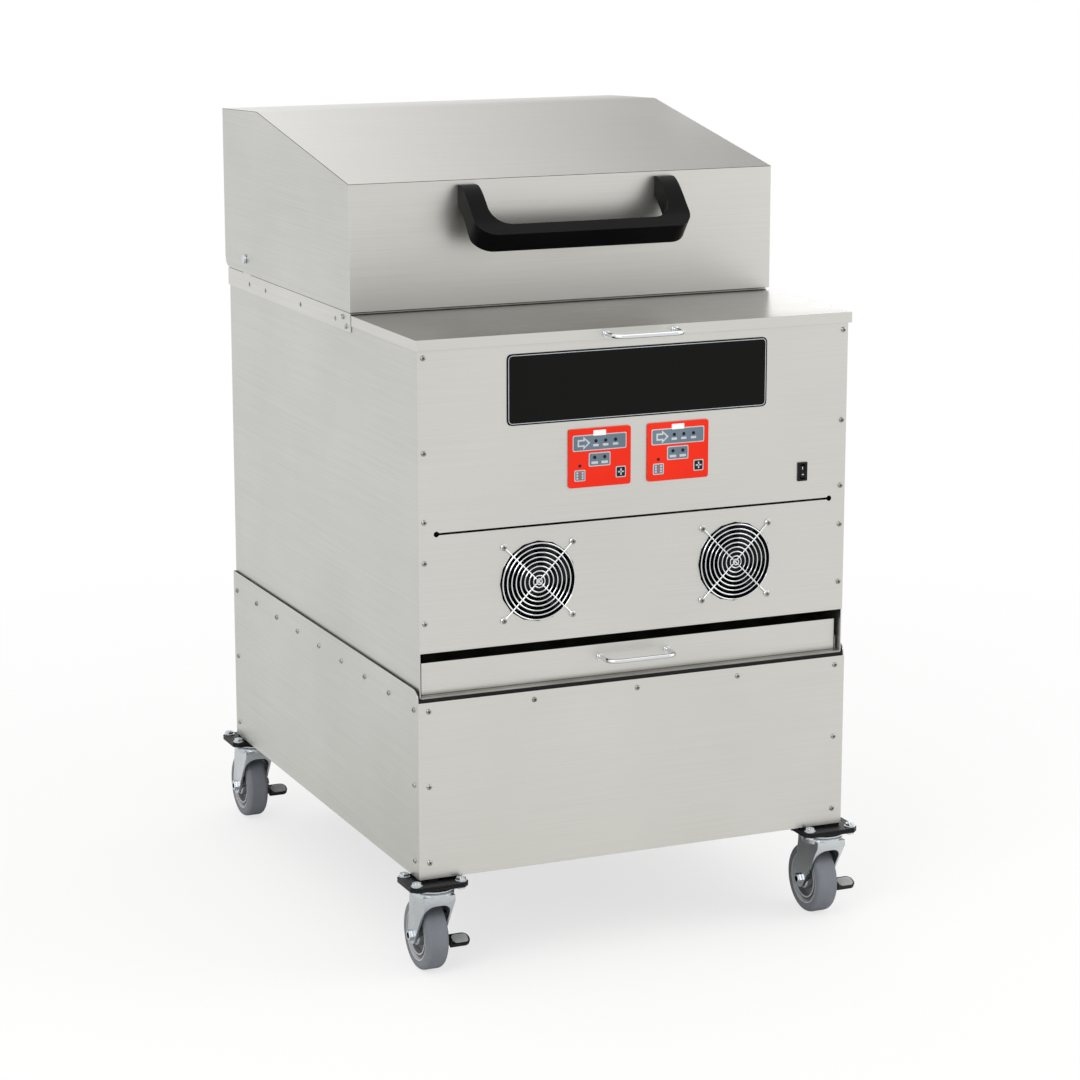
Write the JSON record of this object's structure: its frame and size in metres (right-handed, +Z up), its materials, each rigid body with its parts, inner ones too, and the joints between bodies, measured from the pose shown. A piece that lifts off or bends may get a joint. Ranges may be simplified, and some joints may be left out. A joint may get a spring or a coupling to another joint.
{
  "type": "wood-fired charbroiler",
  "caption": "Free-standing pellet-fired charbroiler on casters: hinged hood, lidded front hopper, twin fans and controllers, slide-out ash drawer and panelled steel base",
  "frame": {"origin": "on the floor, under the middle of the whole object's bounding box", "axes": "+Z is up, -Y is the front with the drawer and the fans, +X is to the right seen from the front"},
  "size_m": [0.7118, 0.909, 1.15],
  "materials": {
    "brushed stainless": "fine straight brushed sheet",
    "mill stainless": "dull mill finish sheet and tube",
    "black paint": "satin black paint",
    "black plastic": "satin black moulding",
    "cast iron": "rough seasoned cast iron",
    "bright zinc": "bright zinc plating",
    "chrome wire": "bright drawn wire",
    "red overlay": "smooth printed membrane",
    "grey tread": "matt grey tread on a grey core"
  },
  "bodies": {
    "cabinet": {"base_frame": "black paint", "base_front_panel": "brushed stainless", "base_back_panel": "brushed stainless", "base_left_panel": "brushed stainless", "base_right_panel": "brushed stainless", "drawer_deck": "mill stainless", "front_panel": "brushed stainless", "back_panel": "brushed stainless", "left_side_panel": "brushed stainless", "right_side_panel": "brushed stainless", "rim_band": "brushed stainless", "cook_box": "mill stainless", "hopper_bin": "mill stainless", "blank_plate": "black plastic", "controller_left": "red overlay", "controller_right": "red overlay", "switch_body": "black plastic", "power_inlet": "black plastic", "fire_pot_left": "cast iron", "auger_tube_left": "mill stainless", "gear_motor_left": "black paint", "fan_frame_left": "black plastic", "fan_guard_left": "chrome wire", "fire_pot_right": "cast iron", "auger_tube_right": "mill stainless", "gear_motor_right": "black paint", "fan_frame_right": "black plastic", "fan_guard_right": "chrome wire", "caster_plate_front_left": "black paint", "caster_plate_front_right": "black paint", "caster_plate_back_left": "black paint", "caster_plate_back_right": "black paint"},
    "hood": {"hood_shell": "brushed stainless", "hood_handle": "black plastic", "hood_pivot_left": "bright zinc", "hood_pivot_right": "bright zinc"},
    "hopper_lid": {"hopper_lid": "brushed stainless", "lid_handle": "chrome wire"},
    "drawer": {"drawer_pan": "brushed stainless", "drawer_handle": "chrome wire"},
    "power_rocker": {"switch_rocker": "black plastic"},
    "heat_deflector": {"heat_deflector": "mill stainless"},
    "cooking_grate_left": {"cooking_grate_left": "cast iron"},
    "fan_rotor_left": {"fan_rotor_left": "black plastic"},
    "auger_left": {"auger_screw_left": "mill stainless"},
    "cooking_grate_right": {"cooking_grate_right": "cast iron"},
    "fan_rotor_right": {"fan_rotor_right": "black plastic"},
    "auger_right": {"auger_screw_right": "mill stainless"},
    "fork_front_left": {"caster_fork_front_left": "bright zinc"},
    "wheel_front_left": {"caster_wheel_front_left": "grey tread"},
    "brake_front_left": {"brake_pedal_front_left": "black paint"},
    "fork_front_right": {"caster_fork_front_right": "bright zinc"},
    "wheel_front_right": {"caster_wheel_front_right": "grey tread"},
    "brake_front_right": {"brake_pedal_front_right": "black paint"},
    "fork_back_left": {"caster_fork_back_left": "bright zinc"},
    "wheel_back_left": {"caster_wheel_back_left": "grey tread"},
    "brake_back_left": {"brake_pedal_back_left": "black paint"},
    "fork_back_right": {"caster_fork_back_right": "bright zinc"},
    "wheel_back_right": {"caster_wheel_back_right": "grey tread"},
    "brake_back_right": {"brake_pedal_back_right": "black paint"}
  },
  "joints": [
    {"name": "hood_hinge", "type": "hinge", "parent": "cabinet", "child": "hood", "pos_m": [-0.0059, 0.29625, 0.921], "axis": [-1, 0, 0], "range_deg": [0, 62]},
    {"name": "hopper_lid_hinge", "type": "hinge", "parent": "cabinet", "child": "hopper_lid", "pos_m": [-0.0059, -0.17275, 0.889], "axis": [-1, 0, 0], "range_deg": [0, 45]},
    {"name": "drawer_slide", "type": "slide", "parent": "cabinet", "child": "drawer", "axis": [0, -1, 0], "range_m": [0, 0.45]},
    {"name": "power_rocker_tilt", "type": "hinge", "parent": "cabinet", "child": "power_rocker", "pos_m": [0.2514, -0.41205, 0.6715], "axis": [1, 0, 0], "range_deg": [0, 14]},
    {"name": "heat_deflector_lift", "type": "slide", "parent": "cabinet", "child": "heat_deflector", "axis": [0, 0, 1], "range_m": [0, 0.06]},
    {"name": "cooking_grate_lift_left", "type": "slide", "parent": "cabinet", "child": "cooking_grate_left", "axis": [0, 0, 1], "range_m": [0, 0.1]},
    {"name": "fan_spin_left", "type": "hinge", "parent": "cabinet", "child": "fan_rotor_left", "pos_m": [-0.1574, -0.39225, 0.5505], "axis": [0, -1, 0], "continuous": true},
    {"name": "auger_turn_left", "type": "hinge", "parent": "cabinet", "child": "auger_left", "pos_m": [-0.1574, -0.14225, 0.654], "axis": [0, 1, 0], "continuous": true},
    {"name": "cooking_grate_lift_right", "type": "slide", "parent": "cabinet", "child": "cooking_grate_right", "axis": [0, 0, 1], "range_m": [0, 0.1]},
    {"name": "fan_spin_right", "type": "hinge", "parent": "cabinet", "child": "fan_rotor_right", "pos_m": [0.1456, -0.39225, 0.5505], "axis": [0, -1, 0], "continuous": true},
    {"name": "auger_turn_right", "type": "hinge", "parent": "cabinet", "child": "auger_right", "pos_m": [0.1456, -0.14225, 0.654], "axis": [0, 1, 0], "continuous": true},
    {"name": "swivel_front_left", "type": "hinge", "parent": "cabinet", "child": "fork_front_left", "pos_m": [-0.3129, -0.40225, 0.12], "axis": [0, 0, 1], "continuous": true},
    {"name": "roll_front_left", "type": "hinge", "parent": "fork_front_left", "child": "wheel_front_left", "pos_m": [-0.3129, -0.37625, 0.0508], "axis": [1, 0, 0], "continuous": true},
    {"name": "brake_front_left", "type": "hinge", "parent": "fork_front_left", "child": "brake_front_left", "pos_m": [-0.3129, -0.37625, 0.0508], "axis": [1, 0, 0], "range_deg": [0, 25]},
    {"name": "swivel_front_right", "type": "hinge", "parent": "cabinet", "child": "fork_front_right", "pos_m": [0.3011, -0.40225, 0.12], "axis": [0, 0, 1], "continuous": true},
    {"name": "roll_front_right", "type": "hinge", "parent": "fork_front_right", "child": "wheel_front_right", "pos_m": [0.3011, -0.37625, 0.0508], "axis": [1, 0, 0], "continuous": true},
    {"name": "brake_front_right", "type": "hinge", "parent": "fork_front_right", "child": "brake_front_right", "pos_m": [0.3011, -0.37625, 0.0508], "axis": [1, 0, 0], "range_deg": [0, 25]},
    {"name": "swivel_back_left", "type": "hinge", "parent": "cabinet", "child": "fork_back_left", "pos_m": [-0.3129, 0.37775, 0.12], "axis": [0, 0, 1], "continuous": true},
    {"name": "roll_back_left", "type": "hinge", "parent": "fork_back_left", "child": "wheel_back_left", "pos_m": [-0.3129, 0.40375, 0.0508], "axis": [1, 0, 0], "continuous": true},
    {"name": "brake_back_left", "type": "hinge", "parent": "fork_back_left", "child": "brake_back_left", "pos_m": [-0.3129, 0.40375, 0.0508], "axis": [1, 0, 0], "range_deg": [0, 25]},
    {"name": "swivel_back_right", "type": "hinge", "parent": "cabinet", "child": "fork_back_right", "pos_m": [0.3011, 0.37775, 0.12], "axis": [0, 0, 1], "continuous": true},
    {"name": "roll_back_right", "type": "hinge", "parent": "fork_back_right", "child": "wheel_back_right", "pos_m": [0.3011, 0.40375, 0.0508], "axis": [1, 0, 0], "continuous": true},
    {"name": "brake_back_right", "type": "hinge", "parent": "fork_back_right", "child": "brake_back_right", "pos_m": [0.3011, 0.40375, 0.0508], "axis": [1, 0, 0], "range_deg": [0, 25]}
  ]
}
